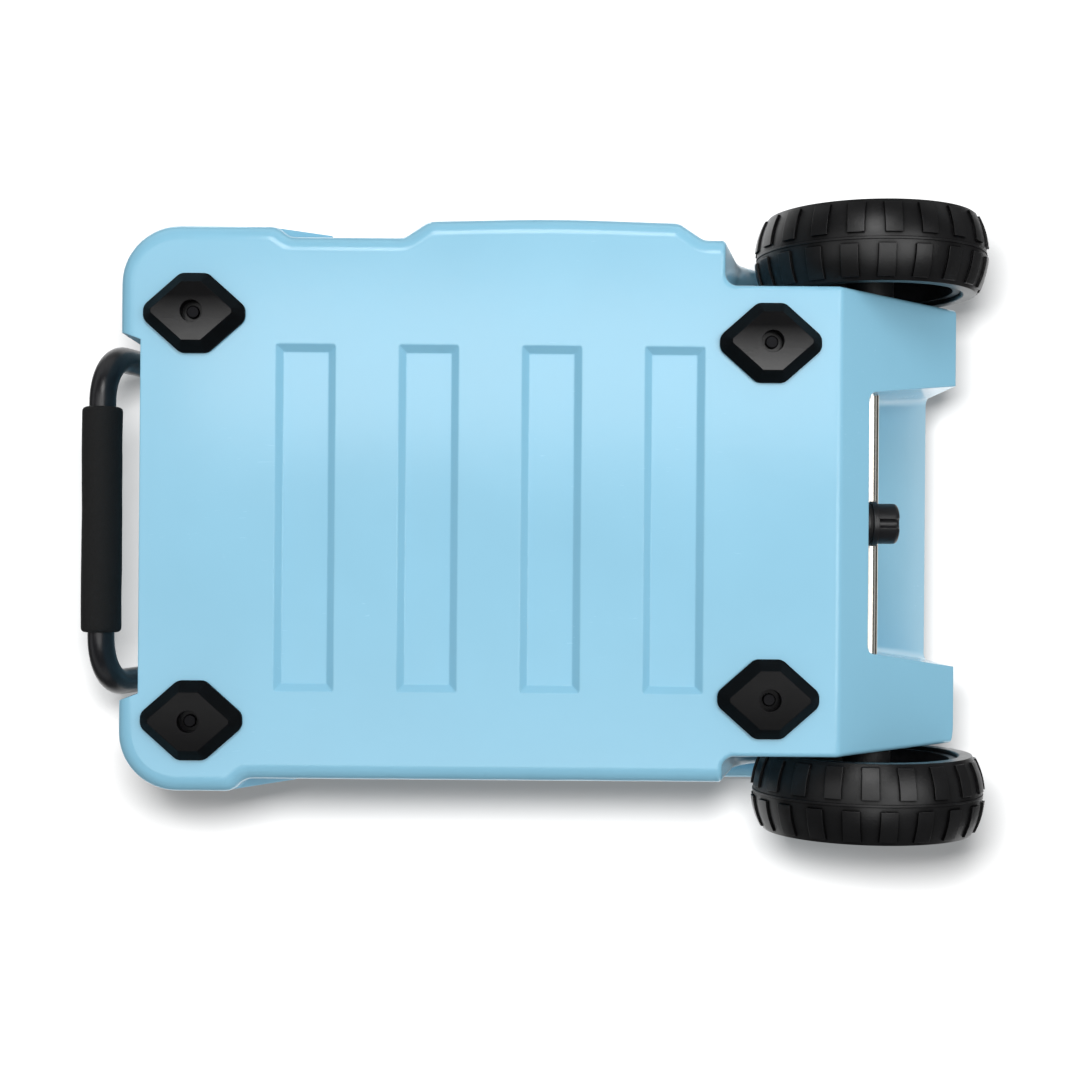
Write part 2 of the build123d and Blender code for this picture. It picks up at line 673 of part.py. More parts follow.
# Body shell
with BuildPart() as body_shell:
    outline = body_outline()
    with BuildSketch(Plane.XY.offset(FOOT_HEIGHT)):
        with BuildLine():
            FilletPolyline(*[p for p, r in outline], radius=[r for p, r in outline], close=True)
        make_face()
    extrude(amount=flange_z + FLANGE_ROUND - FOOT_HEIGHT, taper=-DRAFT_ANGLE)
    with BuildSketch(Plane.XZ):
        with BuildLine():
            Polyline(
                (slope_x, FOOT_HEIGHT),
                (slope_x + reach, FOOT_HEIGHT + reach * tan(radians(TAIL_SLOPE_ANGLE))),
                (slope_x + reach, FOOT_HEIGHT),
                close=True,
            )
        make_face()
    extrude(amount=reach, both=True, mode=Mode.SUBTRACT)
    add(well.part, mode=Mode.SUBTRACT)
    add(back_well, mode=Mode.SUBTRACT)
    across = body_shell.edges().filter_by(Axis.Y)
    tail_edges = [e for e in across if e.center().X > slope_x - NEAR and e.center().Z < well_top - NEAR]
    fillet([e for e in tail_edges if e.length > well_wall], TAIL_ROUND)
    underside = body_shell.faces().sort_by(Axis.Z)[0]
    fillet([e for e in underside.edges() if e.center().X < well_x - NEAR], BASE_ROUND)
    fillet(well_edges(body_shell), EDGE_ROUND)
    add([front_shoulder, back_shoulder])
    add(end_recess.part, mode=Mode.SUBTRACT)
    with BuildSketch(Plane.XY.offset(FOOT_HEIGHT)):
        with Locations((tail_x - BAR_ROW_RUN, 0)):
            with GridLocations(BAR_PITCH, 0, BAR_COUNT, 1):
                RectangleRounded(BAR_WIDTH, BAR_LENGTH, BAR_ROUND)
    extrude(amount=BAR_DEPTH, taper=BAR_TAPER, mode=Mode.SUBTRACT)
    add(rim.part)
    add(body_knuckles)
    add(body_cuts + hinge_bores, mode=Mode.SUBTRACT)
save(body_shell.part, "body_shell")

# Lid
with BuildPart() as lid_foam:
    with BuildSketch(Plane.XY.offset(lid_bottom + GASKET_SEAT + LID_SKIN)):
        foam_front = lid_shelf_y + LATCH_SHELF_DEPTH + LID_SKIN
        foam_back = rim_back - LID_FOAM_MARGIN
        with Locations((rim_centre[0], (foam_front + foam_back) / 2)):
            RectangleRounded(rim_length - 2 * LID_FOAM_MARGIN, foam_back - foam_front, RIM_CORNER)
    extrude(amount=OVERALL_HEIGHT - LID_PANEL_DEPTH - lid_bottom - GASKET_SEAT - 2 * LID_SKIN)
save(lid_foam.part, "lid_foam")

gasket_top = lid_bottom + GASKET_SEAT
with BuildPart() as lid_gasket:
    add(mouth_block(GASKET_MARGIN + GASKET_WIDTH, RIM_HEIGHT, gasket_top))
    add(mouth_block(GASKET_MARGIN, RIM_HEIGHT, gasket_top), mode=Mode.SUBTRACT)
save(lid_gasket.part, "lid_gasket")

lid_cuts = [lid_foam.part, lid_gasket.part] + hinge_bores
for x in latches.values():
    notch = LATCH_NOTCH / 2
    slot = LATCH_SLOT / 2
    recess_y = lid_shelf_y + LATCH_SHELF_DEPTH
    lid_cuts.append(between(x - notch, x + notch, -reach, lid_shelf_y, 0, 2 * OVERALL_HEIGHT))
    lid_cuts.append(between(x - notch, x + notch, -reach, recess_y, shelf_z, 2 * OVERALL_HEIGHT))
    lid_cuts.append(between(x - slot, x + slot, -reach, strap_back_y, 0, 2 * OVERALL_HEIGHT))
lid_knuckles = []
for station in hinge_stations:
    foot_z, top_z = lid_bottom + HINGE_WEB, lid_bottom + FLANGE_ROUND
    lid_knuckles.append(knuckle(station - hinge_half, station + hinge_half, foot_z, top_z))

with BuildPart() as lid_shell:
    with BuildSketch(Plane.XY.offset(lid_bottom)):
        with Locations(rim_centre):
            RectangleRounded(rim_length, rim_width, RIM_CORNER)
    extrude(amount=OVERALL_HEIGHT - lid_bottom, taper=LID_DRAFT)
    fillet(lid_shell.faces().sort_by(Axis.Z)[-1].edges(), LID_TOP_ROUND)
    fillet(lid_shell.faces().sort_by(Axis.Z)[0].edges(), FLANGE_ROUND)
    with BuildSketch(Plane.XY.offset(OVERALL_HEIGHT)):
        with Locations(rim_centre):
            panel_length = rim_length - 2 * LID_PANEL_MARGIN
            RectangleRounded(panel_length, rim_width - 2 * LID_PANEL_MARGIN, LID_PANEL_CORNER)
    extrude(amount=-LID_PANEL_DEPTH, taper=LID_PANEL_TAPER, mode=Mode.SUBTRACT)
    add(mouth_block(-LID_PLUG_GAP, lid_bottom - LID_PLUG_DEPTH, lid_bottom))
    add(lid_knuckles)
    add(lid_cuts, mode=Mode.SUBTRACT)
save(lid_shell.part, "lid_shell")

# Latches
latch_pins = []
for side, x in latches.items():
    with BuildPart() as latch:
        with BuildSketch(Plane.YZ.offset(x - LATCH_STRAP_WIDTH / 2)):
            strap_length = latch_bar_z - LATCH_PIVOT_HEIGHT
            with Locations((latch_y, LATCH_PIVOT_HEIGHT + strap_length / 2)):
                Rectangle(LATCH_STRAP, strap_length)
        extrude(amount=LATCH_STRAP_WIDTH)
        fillet(latch.edges().filter_by(Axis.Z), LATCH_STRAP_ROUND)
        with BuildSketch(Plane.YZ.offset(x - LATCH_EYE_WIDTH / 2)):
            with Locations((latch_y, LATCH_PIVOT_HEIGHT)):
                Circle(LATCH_EYE_RADIUS)
        extrude(amount=LATCH_EYE_WIDTH)
        tab_back = latch_y - LATCH_BAR_RADIUS + LATCH_TAB_THICKNESS
        tab_top = latch_bar_z + LATCH_BAR_RADIUS + LATCH_TAB
        tab_half = LATCH_TAB_WIDTH / 2
        tab_front = latch_y - LATCH_BAR_RADIUS
        add(between(x - tab_half, x + tab_half, tab_front, tab_back, latch_bar_z, tab_top))
        fillet(latch.edges().group_by(Axis.Z)[-1], LATCH_STRAP_ROUND)
        with BuildSketch(Plane.YZ.offset(x - LATCH_BAR_LENGTH / 2)):
            with Locations((latch_y, latch_bar_z)):
                Circle(LATCH_BAR_RADIUS)
        extrude(amount=LATCH_BAR_LENGTH)
        bar_ends = [e for e in latch.edges() if abs(abs(e.center().X - x) - LATCH_BAR_LENGTH / 2) < NEAR]
        fillet(bar_ends, LATCH_BAR_ROUND)
        bore_start = (x - LATCH_EYE_WIDTH, latch_y, LATCH_PIVOT_HEIGHT)
        bore = rod(bore_start, (1, 0, 0), 2 * LATCH_EYE_WIDTH, LATCH_PIN_RADIUS + RUNNING_GAP)
        add(bore, mode=Mode.SUBTRACT)
    save(latch.part, f"latch_{side}")

    with BuildPart() as latch_mount:
        plate_half = LATCH_PLATE_WIDTH / 2
        low, high = LATCH_PIVOT_HEIGHT - LATCH_MOUNT_RISE, LATCH_PIVOT_HEIGHT + LATCH_MOUNT_RISE
        add(between(x - plate_half, x + plate_half, latch_plate_y, latch_seat_y, low, high))
        fillet(latch_mount.edges().filter_by(Axis.Y), LATCH_EYE_RADIUS)
        for start in (x - latch_cheek - LATCH_CHEEK, x + latch_cheek):
            with BuildSketch(Plane.YZ.offset(start)):
                with Locations(((latch_y + latch_plate_y) / 2, LATCH_PIVOT_HEIGHT)):
                    Rectangle(latch_plate_y - latch_y, 2 * LATCH_EYE_RADIUS)
                with Locations((latch_y, LATCH_PIVOT_HEIGHT)):
                    Circle(LATCH_EYE_RADIUS)
            extrude(amount=LATCH_CHEEK)
        pin_start = (x - latch_cheek - LATCH_CHEEK, latch_y, LATCH_PIVOT_HEIGHT)
        pin_length = 2 * (latch_cheek + LATCH_CHEEK)
        add(rod(pin_start, (1, 0, 0), pin_length, LATCH_PIN_RADIUS + FIXED_GAP), mode=Mode.SUBTRACT)
        add(latch_pilots, mode=Mode.SUBTRACT)
    save(latch_mount.part, f"latch_mount_{side}")
    latch_pins.append(rod(pin_start, (1, 0, 0), pin_length, LATCH_PIN_RADIUS))
save(Compound(children=latch_pins), "latch_pins")

# Tow handle
stub_x = pivot_x - LEG_STUB * leg_down[0]
stub_z = pivot_z - LEG_STUB * leg_down[1]
with BuildPart() as tow_handle_tube:
    with BuildLine() as handle_path:
        FilletPolyline(
            (stub_x, legs["front"], stub_z),
            (grip_x, legs["front"], GRIP_HEIGHT),
            (grip_x, legs["back"], GRIP_HEIGHT),
            (stub_x, legs["back"], stub_z),
            radius=TUBE_BEND,
        )
    with BuildSketch(Plane(origin=handle_path.line @ 0, z_dir=handle_path.line % 0)):
        Circle(TUBE_RADIUS)
        Circle(TUBE_RADIUS - TUBE_WALL, mode=Mode.SUBTRACT)
    sweep(path=handle_path.line)
    pivot_start = (pivot_x, -reach, pivot_z)
    add(rod(pivot_start, (0, 1, 0), 2 * reach, BOLT_RADIUS + RUNNING_GAP), mode=Mode.SUBTRACT)
save(tow_handle_tube.part, "tow_handle_tube")

with BuildPart() as tow_handle_grip:
    add(rod((grip_x, -GRIP_LENGTH / 2, GRIP_HEIGHT), (0, 1, 0), GRIP_LENGTH, GRIP_RADIUS))
    fillet(tow_handle_grip.edges().filter_by(GeomType.CIRCLE), GRIP_END_ROUND)
    inside = rod((grip_x, -GRIP_LENGTH, GRIP_HEIGHT), (0, 1, 0), 2 * GRIP_LENGTH, TUBE_RADIUS)
    add(inside, mode=Mode.SUBTRACT)
save(tow_handle_grip.part, "tow_handle_grip")

handle_bolts = []
for side, leg_y in legs.items():
    with BuildPart() as bracket:
        low, high = pivot_z - BRACKET_RISE, pivot_z + BRACKET_RISE
        left, right = leg_y - bracket_half, leg_y + bracket_half
        add(between(bracket_face_x, bracket_seat_x, left, right, low, high))
        fillet(bracket.edges().filter_by(Axis.X), BRACKET_ROUND)
        for start in (leg_y - cheek_outer, leg_y + cheek_inner):
            with BuildSketch(Plane.XZ.offset(-start - BRACKET_CHEEK)):
                with BuildLine():
                    Polyline(
                        (bracket_face_x, pivot_z + BRACKET_ROOT),
                        (pivot_x, pivot_z + BRACKET_NOSE),
                        (pivot_x, pivot_z - BRACKET_NOSE),
                        (bracket_face_x, pivot_z - BRACKET_ROOT),
                        close=True,
                    )
                make_face()
                with Locations((pivot_x, pivot_z)):
                    Circle(BRACKET_NOSE)
            extrude(amount=BRACKET_CHEEK)
        rest = TUBE_RADIUS + STOP_GAP
        stop_x = pivot_x - rest * leg_down[1] + STOP_DROP * leg_down[0]
        stop_z = pivot_z + rest * leg_down[0] + STOP_DROP * leg_down[1]
        with BuildSketch(Plane.XZ.offset(-leg_y - cheek_inner)):
            with BuildLine():
                Polyline(
                    (stop_x, stop_z),
                    (stop_x + STOP_LENGTH * leg_down[0], stop_z + STOP_LENGTH * leg_down[1]),
                    (bracket_face_x, stop_z + STOP_LENGTH * leg_down[1]),
                    (bracket_face_x, stop_z),
                    close=True,
                )
            make_face()
        extrude(amount=2 * cheek_inner)
        bolt_hole = rod(pivot_start, (0, 1, 0), 2 * reach, BOLT_RADIUS + FIXED_GAP)
        add(bracket_pilots + [bolt_hole], mode=Mode.SUBTRACT)
    save(bracket.part, f"handle_bracket_{side}")

    with BuildPart() as bolt:
        for start in (leg_y - cheek_outer - BOLT_HEAD, leg_y + cheek_outer):
            add(rod((pivot_x, start, pivot_z), (0, 1, 0), BOLT_HEAD, BOLT_HEAD_RADIUS))
        ends = [e for e in bolt.edges() if abs(e.center().Y - leg_y) > cheek_outer + BOLT_HEAD - NEAR]
        fillet([e for e in ends if e.geom_type == GeomType.CIRCLE], BOLT_HEAD_ROUND)
        add(rod((pivot_x, leg_y - cheek_outer, pivot_z), (0, 1, 0), 2 * cheek_outer, BOLT_RADIUS))
    handle_bolts.append(bolt.part)
save(Compound(children=handle_bolts), "handle_bolts")

# Wheels, each built on the back side and turned round for the front
wheel_plane = Plane(origin=(wheel_x, 0, axle_z), x_dir=(1, 0, 0), z_dir=(0, 0, 1))
wheel_axis = Axis((wheel_x, 0, axle_z), (0, 1, 0))
about_face = {"front": 180, "back": 0}
half_turn = Axis((wheel_x, 0, 0), (0, 0, 1))
tread_radius = WHEEL_RADIUS - LUG_HEIGHT


def tyre_ring(radius, root, margin):
    """Ring with a crowned tread, rounded shoulders and flat sides inside the tyre's by a margin."""
    half = WHEEL_WIDTH / 2 - margin
    edge = radius - tread_arc + sqrt(tread_arc**2 - half**2)
    inner, outer = wheel_middle - half, wheel_middle + half
    with BuildPart() as ring:
        with BuildSketch(wheel_plane) as section:
            with BuildLine():
                Polyline((edge, inner), (root, inner), (root, outer), (edge, outer))
                ThreePointArc((edge, inner), (radius, wheel_middle), (edge, outer))
            make_face()
            corners = section.vertices().sort_by(Axis.X)
            fillet(corners[:2], TYRE_BEAD)
            fillet(corners[2:], TYRE_SHOULDER - margin)
        revolve(axis=wheel_axis)
    return ring.part


carcass = tyre_ring(tread_radius, rim_radius, 0)
lug_ring = tyre_ring(WHEEL_RADIUS, rim_radius + TYRE_SHOULDER / 2, LUG_SIDE)
for side, turn in about_face.items():
    with BuildPart() as lugs:
        add(lug_ring)
        slabs = []
        row = WHEEL_WIDTH - LUG_ROW_GAP
        for shift, middle in zip(LUG_SHIFT[side], (wheel_outer - row / 4, wheel_inner + row / 4)):
            for number in range(LUG_COUNT):
                slab = between(-LUG_WIDTH / 2, LUG_WIDTH / 2, middle - row / 4, middle + row / 4, -reach, 0)
                angle = 360 * (number + shift) / LUG_COUNT
                slabs.append(slab.rotate(Axis.Y, angle).moved(Location((wheel_x, 0, axle_z))))
        add(slabs, mode=Mode.INTERSECT)

    with BuildPart() as tyre:
        add(carcass)
        with BuildSketch(wheel_plane):
            with Locations((tread_radius, wheel_middle)):
                Rectangle(2 * RIDGE_HEIGHT, RIDGE_WIDTH)
        revolve(axis=wheel_axis)
        add(lugs.part)
    save(tyre.part.rotate(half_turn, turn), f"tyre_{side}")

    with BuildPart() as hub:
        web_middle = wheel_middle + HUB_WEB_SHIFT
        with BuildSketch(wheel_plane):
            with Locations((rim_radius - HUB_RIM / 2, wheel_middle)):
                Rectangle(HUB_RIM, WHEEL_WIDTH - 2 * HUB_INSET)
            with Locations(((rim_radius - HUB_RIM / 2) / 2, web_middle)):
                Rectangle(rim_radius - HUB_RIM / 2, HUB_WEB)
            with Locations((HUB_BOSS_RADIUS / 2, (boss_inner + boss_outer) / 2)):
                Rectangle(HUB_BOSS_RADIUS, boss_outer - boss_inner)
        revolve(axis=wheel_axis)
        window_circle = (HUB_BOSS_RADIUS + rim_radius - HUB_RIM) / 2
        with BuildSketch(Plane.XZ.offset(-reach)):
            with Locations((wheel_x, axle_z)):
                with PolarLocations(window_circle, HUB_WINDOWS):
                    Circle(HUB_WINDOW_RADIUS)
                Circle(AXLE_RADIUS + RUNNING_GAP)
        extrude(amount=2 * reach, mode=Mode.SUBTRACT)
    save(hub.part.rotate(half_turn, turn), f"hub_{side}")

# Axle with its washers and end caps
axle_bar = rod((wheel_x, -axle_end, axle_z), (0, 1, 0), 2 * axle_end, AXLE_RADIUS)
save(axle_bar, "axle")

washers = []
caps = []
for direction in (-1, 1):
    with BuildPart() as washer:
        thickness = boss_inner - WASHER_GAP - well_wall
        add(rod((wheel_x, direction * well_wall, axle_z), (0, direction, 0), thickness, WASHER_RADIUS))
        add(axle_bore, mode=Mode.SUBTRACT)
    washers.append(washer.part)
    with BuildPart() as cap:
        add(rod((wheel_x, direction * cap_end, axle_z), (0, -direction, 0), CAP_LENGTH, CAP_RADIUS))
        outer_rim = [e for e in cap.edges() if abs(abs(e.center().Y) - cap_end) < NEAR]
        fillet([e for e in outer_rim if e.geom_type == GeomType.CIRCLE], CAP_ROUND)
        add(axle_bar, mode=Mode.SUBTRACT)
    caps.append(cap.part)
save(Compound(children=washers), "axle_washers")
save(Compound(children=caps), "axle_caps")

# Drain
drain_axis = (1, 0, 0)
sleeve_start = (cavity_right, 0, DRAIN_HEIGHT)
with BuildPart() as drain_sleeve:
    add(rod(sleeve_start, drain_axis, TAIL_WALL, DRAIN_SLEEVE_RADIUS))
    add(rod((pocket_x, 0, DRAIN_HEIGHT), drain_axis, DRAIN_FLANGE, DRAIN_FLANGE_RADIUS))
    add(rod(sleeve_start, drain_axis, reach, DRAIN_BORE), mode=Mode.SUBTRACT)
save(drain_sleeve.part, "drain_sleeve")

with BuildPart() as drain_seal:
    add(rod((seal_x, 0, DRAIN_HEIGHT), drain_axis, DRAIN_SEAL, DRAIN_SEAL_RADIUS))
    add(rod((seal_x, 0, DRAIN_HEIGHT), drain_axis, DRAIN_SEAL, DRAIN_BORE), mode=Mode.SUBTRACT)
save(drain_seal.part, "drain_seal")

with BuildPart() as drain_plug:
    with BuildSketch(Plane.YZ.offset(knob_x)):
        with Locations((0, DRAIN_HEIGHT)):
            Circle(DRAIN_KNOB_RADIUS)
            flute_circle = DRAIN_KNOB_RADIUS + DRAIN_FLUTE_RADIUS - DRAIN_FLUTE_DEPTH
            with PolarLocations(flute_circle, DRAIN_FLUTES):
                Circle(DRAIN_FLUTE_RADIUS, mode=Mode.SUBTRACT)
    extrude(amount=DRAIN_KNOB)
    fillet(drain_plug.faces().sort_by(Axis.X)[-1].edges(), DRAIN_ROUND)
    add(rod((collar_x, 0, DRAIN_HEIGHT), drain_axis, DRAIN_COLLAR, DRAIN_COLLAR_RADIUS))
    add(rod((collar_x - DRAIN_SHANK, 0, DRAIN_HEIGHT), drain_axis, DRAIN_SHANK, DRAIN_SHANK_RADIUS))
save(drain_plug.part, "drain_plug")

# Feet
with BuildPart() as foot:
    tip, side_tip = FOOT_TIP / 2, FOOT_SIDE_TIP / 2
    long, wide = FOOT_LENGTH / 2, FOOT_WIDTH / 2
    diamond = [
        (long, -side_tip),
        (long, side_tip),
        (tip, wide),
        (-tip, wide),
        (-long, side_tip),
        (-long, -side_tip),
        (-tip, -wide),
        (tip, -wide),
    ]
    bevel_top = FOOT_HEIGHT - FOOT_RIM
    for level, drop, taper in ((FOOT_HEIGHT, FOOT_RIM, 0), (bevel_top, bevel_top, FOOT_TAPER)):
        with BuildSketch(Plane.XY.offset(level)):
            with BuildLine():
                FilletPolyline(*diamond, radius=FOOT_TIP_ROUND, close=True)
            make_face()
        extrude(amount=-drop, taper=taper)
    add(rod((0, 0, 0), (0, 0, 1), FOOT_SEAT, FOOT_BORE), mode=Mode.SUBTRACT)
    add(rod((0, 0, 0), (0, 0, 1), FOOT_HEIGHT, pilot_radius), mode=Mode.SUBTRACT)
for corner, (x, y) in feet.items():
    save(foot.part.moved(Location((x, y, 0))), f"foot_{corner}")
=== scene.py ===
"""Finishes and studio of an insulated cooler on wheels, laid out as an add-on.

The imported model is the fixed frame. Each operator finishes one group of its pieces, and the soft foam
grip is modelled here.
"""

import math

import bmesh
import bpy
from bpy.props import FloatProperty, FloatVectorProperty, IntProperty, PointerProperty
from mathutils import Matrix, Vector, noise


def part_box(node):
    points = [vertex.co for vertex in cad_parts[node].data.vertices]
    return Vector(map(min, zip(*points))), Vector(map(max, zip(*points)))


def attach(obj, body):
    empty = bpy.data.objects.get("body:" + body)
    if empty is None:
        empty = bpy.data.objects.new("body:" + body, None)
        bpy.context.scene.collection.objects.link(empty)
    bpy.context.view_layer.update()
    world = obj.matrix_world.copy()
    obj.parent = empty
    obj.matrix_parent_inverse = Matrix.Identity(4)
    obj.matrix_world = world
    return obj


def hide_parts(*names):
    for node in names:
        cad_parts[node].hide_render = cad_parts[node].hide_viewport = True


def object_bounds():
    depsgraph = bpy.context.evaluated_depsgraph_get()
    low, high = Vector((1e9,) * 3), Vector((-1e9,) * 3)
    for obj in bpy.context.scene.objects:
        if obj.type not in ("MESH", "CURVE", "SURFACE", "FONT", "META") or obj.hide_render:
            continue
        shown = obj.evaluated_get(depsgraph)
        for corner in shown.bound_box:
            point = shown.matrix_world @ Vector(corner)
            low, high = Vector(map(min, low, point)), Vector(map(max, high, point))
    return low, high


bl_info = {
    "name": "Cooler on wheels",
    "version": (1, 0, 0),
    "blender": (4, 5, 0),
    "location": "3D View > Sidebar > Cooler",
    "description": "Finishes and studio of an insulated cooler on wheels",
    "category": "Object",
}

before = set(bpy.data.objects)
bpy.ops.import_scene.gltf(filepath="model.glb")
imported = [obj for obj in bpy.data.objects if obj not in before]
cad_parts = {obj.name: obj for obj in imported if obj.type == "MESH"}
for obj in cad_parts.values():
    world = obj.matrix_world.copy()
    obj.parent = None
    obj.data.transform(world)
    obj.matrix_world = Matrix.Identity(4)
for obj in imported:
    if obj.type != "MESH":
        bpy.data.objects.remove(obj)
cad_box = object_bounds()

SOFT_SAMPLES = 6  # rays that find softened edges and crevices

# Softening of edges, against the shell's
EDGE_SHARE = {"rubber": 0.5, "tread": 0.35, "plastic": 0.5, "tube": 0.4, "steel": 0.3}

# Room that shows in gloss, by its brightness
WALLS = 0.10
WINDOW = 0.9
GROUND = 1.2
GROUND_BEHIND = 2.6  # added to the ground, on the hinge side
CEILING = 0.6

# Lamps around the cooler, seen from its middle
LAMPS = {
    "key_below": dict(towards=(0.0, -0.50, -0.85), distance=2.4, size=(1.0, 0.8), power=15),
    "strip_below": dict(towards=(0.0, -0.365, -2.33), distance=2.36, size=(1.4, 0.33), power=5),
    "right_below": dict(towards=(0.55, -0.10, -0.83), distance=2.4, size=(1.2, 1.2), power=15),
    "left_below": dict(towards=(-0.55, -0.10, -0.83), distance=2.4, size=(1.2, 1.2), power=5),
    "right_side": dict(towards=(0.94, 0.0, 0.34), distance=2.4, size=(1.0, 1.6), power=7, mirrored=False),
    "key_above": dict(towards=(-0.45, -0.70, 0.80), distance=2.4, size=(1.2, 1.2), power=20),
    "fill_above": dict(towards=(0.70, 0.75, 0.60), distance=2.6, size=(1.6, 1.6), power=10),
}
FLASH = dict(size=(0.18, 0.12), power=106)
FLASH_SHIFT = (-0.025, -0.090, 0.0)  # flash from the camera's eye


def colour(name, description, default):
    """A colour that the user can change."""
    return FloatVectorProperty(
        name=name, description=description, subtype="COLOR", min=0.0, max=1.0, default=default
    )


def length(name, description, default):
    """A length that the user can change, in metres."""
    return FloatProperty(name=name, description=description, unit="LENGTH", precision=5, default=default)


class CoolerFinishes(bpy.types.PropertyGroup):
    """Colours and surface sizes of the cooler's materials."""

    shell: colour("Shell", "Moulded-in colour of the body and the lid", (0.272, 0.578, 0.760))
    liner: colour("Liner", "Colour of the food compartment", (0.80, 0.82, 0.83))
    rubber: colour("Rubber", "Colour of feet, latches and seals", (0.007, 0.007, 0.0075))
    tyre: colour("Tyre", "Colour of the tread", (0.006, 0.006, 0.0065))
    plastic: colour("Black plastic", "Colour of hubs, brackets, caps and drain", (0.008, 0.008, 0.009))
    tube: colour("Tube paint", "Colour of the tow handle's tube", (0.008, 0.008, 0.010))
    foam: colour("Grip foam", "Colour of the grip", (0.009, 0.009, 0.009))
    steel: colour("Steel", "Colour of the axle", (0.66, 0.63, 0.57))
    zinc: colour("Zinc", "Colour of screws, bolts and pins", (0.46, 0.46, 0.45))
    # Near black: painted shade for the screws deep in the feet's holes
    screw_shade: colour("Screw shade", "Colour of the screws in the feet", (0.010, 0.010, 0.011))
    insulation: colour("Insulation", "Colour of the foam in the walls", (0.80, 0.70, 0.46))
    ripple: length("Ripple", "Size of the waves that a mould leaves in the shell", 0.011)
    edge: length("Edge", "Softening of moulded edges", 0.0018)
    crown: FloatProperty(name="Crown", description="How much the feet's faces bulge", default=1.0)
    front_gloss: FloatVectorProperty(
        name="Front gloss",
        description="Gloss of a front foot's sole, at its outer and inner tip",
        size=2,
        default=(0.0, 0.85),
    )
    back_gloss: FloatVectorProperty(
        name="Back gloss",
        description="Gloss of a back foot's sole, at its inner and outer tip",
        size=2,
        default=(0.17, 0.05),
    )


class CoolerGrip(bpy.types.PropertyGroup):
    """Sizes of the foam grip."""

    end_round: length("End rounding", "Rounding at both ends of the sleeve", 0.0035)
    wave: length("Unevenness", "How far the foam swells and sinks", 0.0004)
    wave_size: length("Wave size", "Size of a swell along the sleeve", 0.030)
    pore: length("Pore", "Size of the cells that show on the foam", 0.0009)
    segments: IntProperty(name="Segments", description="Points around the sleeve", default=72, min=12)


class CoolerStage(bpy.types.PropertyGroup):
    """Camera, lamps and ground."""

    eye: FloatVectorProperty(
        name="Eye",
        description="Place of the camera, below the cooler",
        subtype="TRANSLATION",
        unit="LENGTH",
        default=(0.0100, 0.0324, -1.2),
    )
    lens: FloatProperty(name="Lens", description="Focal length in millimetres", default=55.6)
    roll: FloatProperty(
        name="Roll", description="Turn of the picture", subtype="ANGLE", default=math.radians(0.45)
    )
    rise: FloatProperty(name="Rise", description="Upward shift of the picture", default=0.0222)
    ambient: FloatProperty(name="Ambient", description="Even light from all sides", default=0.52)
    ground: length("Ground", "Width of the floor", 8.0)
    backdrop: length("Backdrop", "Width of the sheet behind the cooler", 1.36)
    floor: colour("Floor", "Colour of the floor", (0.86, 0.86, 0.86))
    paper: colour("Paper", "Colour of the backdrop", (0.30, 0.30, 0.30))


class Wire:
    """One socket of a node tree, so that shader maths reads as an expression."""

    def __init__(self, tree, socket):
        self.tree = tree
        self.socket = socket

    def at(self, output):
        """Another output of the same node."""
        return Wire(self.tree, self.socket.node.outputs[output])

    def math(self, operation, first, second):
        return self.tree.node("ShaderNodeMath", {"operation": operation}, {0: first, 1: second})

    def __add__(self, other):
        return self.math("ADD", self, other)

    def __sub__(self, other):
        return self.math("SUBTRACT", self, other)

    def __rsub__(self, other):
        return self.math("SUBTRACT", other, self)

    def __mul__(self, other):
        return self.math("MULTIPLY", self, other)

    def __gt__(self, other):
        return self.math("GREATER_THAN", self, other)

    def highest(self, other):
        return self.math("MAXIMUM", self, other)

    def lowest(self, other):
        return self.math("MINIMUM", self, other)

    __radd__ = __add__
    __rmul__ = __mul__


